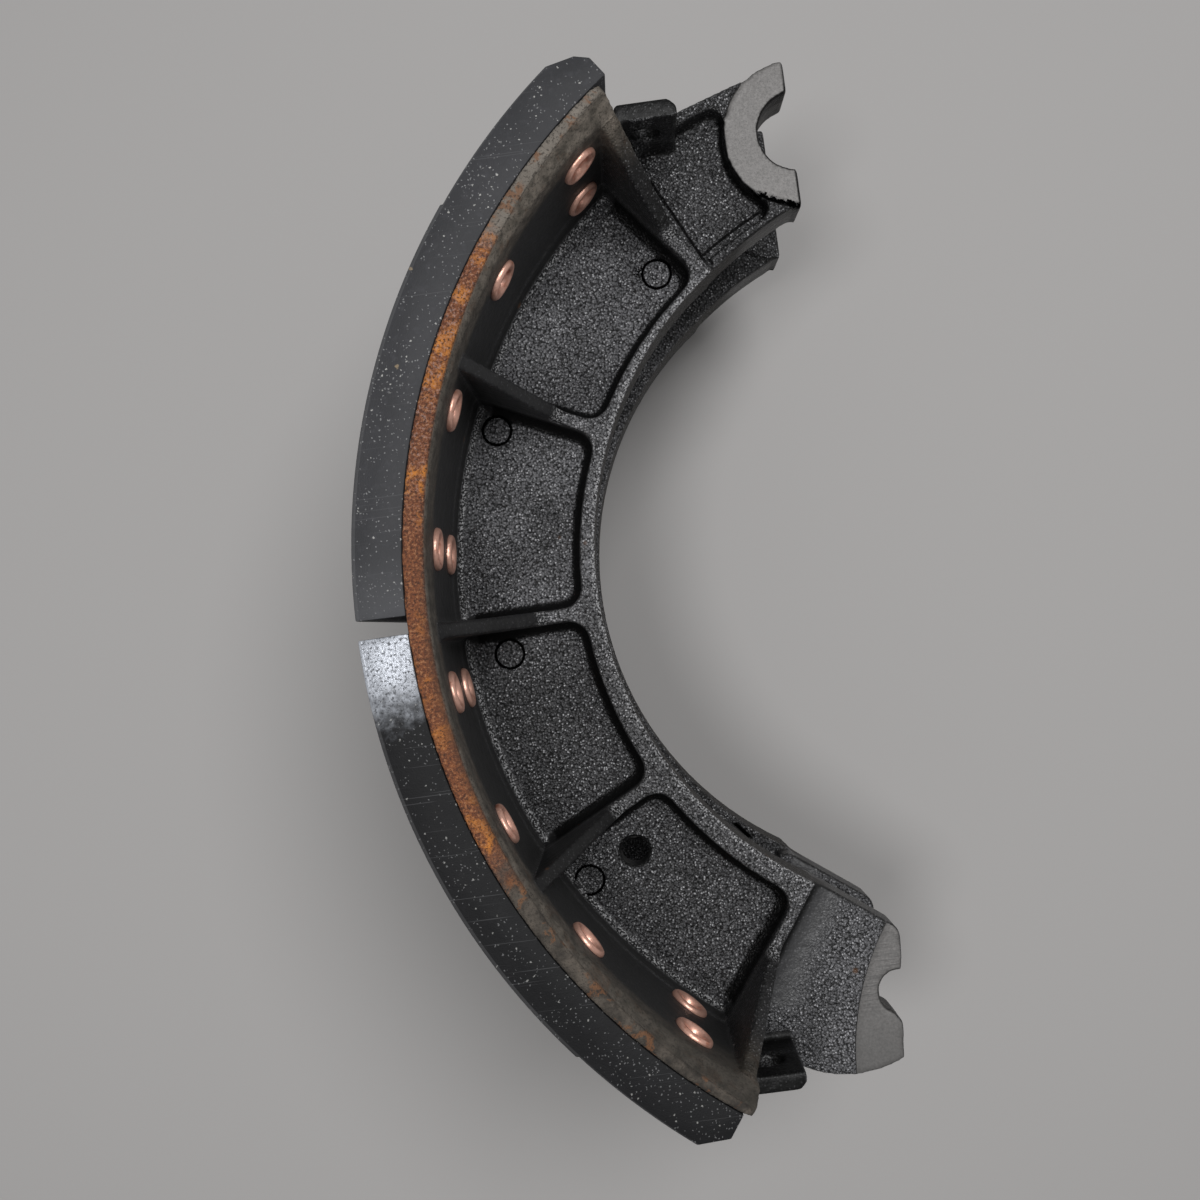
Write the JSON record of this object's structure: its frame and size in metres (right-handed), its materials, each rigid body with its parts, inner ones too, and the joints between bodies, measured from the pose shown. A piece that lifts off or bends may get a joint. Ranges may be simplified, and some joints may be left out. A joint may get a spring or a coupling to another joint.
{
  "type": "brake shoe",
  "caption": "Curved cast shoe for a cam-operated drum brake, with two riveted friction linings, webs with a roller seat and an anchor seat, and lugs for return springs.",
  "frame": {"origin": "on the axis of the anchor pin that the shoe swings on, midway between the two webs; the drum's axis, about which the friction faces are arcs of 205 mm radius, is the line x = 47.3 mm, y = 147.6 mm", "axes": "+Z along the anchor pin, parallel to the drum's axis, +Y towards the cam end, -X through the gap between the linings, out through the middle of the shoe"},
  "size_m": [0.1604, 0.3541, 0.2],
  "materials": {
    "casting": "glossy black paint over a grainy sand-cast skin, rusty along the platform's edge",
    "lining": "dark moulded friction material with fine pale specks",
    "rivets": "bright copper-coloured metal"
  },
  "bodies": {
    "root": {"shoe_casting": "casting", "cam_side_lining": "lining", "anchor_side_lining": "lining", "cam_rivet_01": "rivets", "cam_rivet_02": "rivets", "cam_rivet_03": "rivets", "cam_rivet_04": "rivets", "cam_rivet_05": "rivets", "cam_rivet_06": "rivets", "cam_rivet_07": "rivets", "cam_rivet_08": "rivets", "cam_rivet_09": "rivets", "cam_rivet_10": "rivets", "cam_rivet_11": "rivets", "cam_rivet_12": "rivets", "anchor_rivet_01": "rivets", "anchor_rivet_02": "rivets", "anchor_rivet_03": "rivets", "anchor_rivet_04": "rivets", "anchor_rivet_05": "rivets", "anchor_rivet_06": "rivets", "anchor_rivet_07": "rivets", "anchor_rivet_08": "rivets", "anchor_rivet_09": "rivets", "anchor_rivet_10": "rivets", "anchor_rivet_11": "rivets", "anchor_rivet_12": "rivets"}
  },
  "joints": []
}
